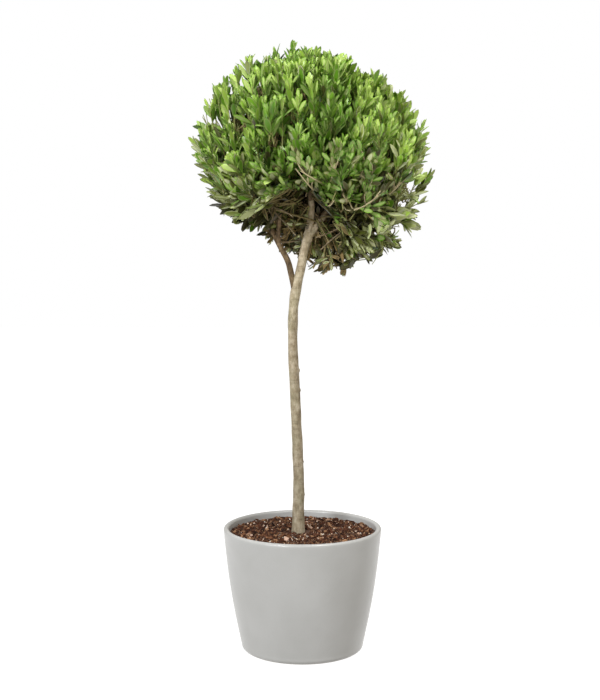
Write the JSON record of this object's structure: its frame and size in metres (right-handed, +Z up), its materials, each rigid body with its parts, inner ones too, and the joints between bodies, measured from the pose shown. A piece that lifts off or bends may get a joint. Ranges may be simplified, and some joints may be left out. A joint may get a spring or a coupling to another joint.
{
  "type": "potted olive tree",
  "caption": "Olive standard with a clipped round crown of small leaves on one bare stem, growing in a tapered round glazed pot filled with bark potting mix",
  "frame": {"origin": "centre of the pot's flat underside, on the surface that the pot stands on", "axes": "+Z up, through the pot's centre and along the plant's height; -Y is the front, from which the stem shows under the crown; +X is to the right as seen from the front"},
  "size_m": [0.3574, 0.3493, 0.9111],
  "materials": {
    "glaze": "light warm-grey satin glaze",
    "potting_mix": "loose, matt, reddish-brown chipped bark and peat",
    "bark": "rough grey-tan bark with fine fissures",
    "foliage": "satin green leaves with greyer undersides"
  },
  "bodies": {
    "root": {"bough_centre": "bark", "bough_front": "bark", "bough_left": "bark", "bough_low_back_left": "bark", "bough_low_back_right": "bark", "bough_low_left": "bark", "bough_low_right": "bark", "bough_right": "bark", "bough_side_left": "bark", "bough_side_right": "bark", "bough_upper_back": "bark", "bough_upper_front_left": "bark", "bough_upper_front_right": "bark", "bough_upper_left": "bark", "bough_upper_right": "bark", "leaves_back_left": "foliage", "leaves_back_right": "foliage", "leaves_front": "foliage", "leaves_left": "foliage", "leaves_low_back_left": "foliage", "leaves_low_back_right": "foliage", "leaves_low_left": "foliage", "leaves_low_right": "foliage", "leaves_right": "foliage", "leaves_top": "foliage", "leaves_upper_back": "foliage", "leaves_upper_front_left": "foliage", "leaves_upper_front_right": "foliage", "leaves_upper_left": "foliage", "leaves_upper_right": "foliage", "pot": "glaze", "soil": "potting_mix", "trunk": "bark"}
  },
  "joints": []
}
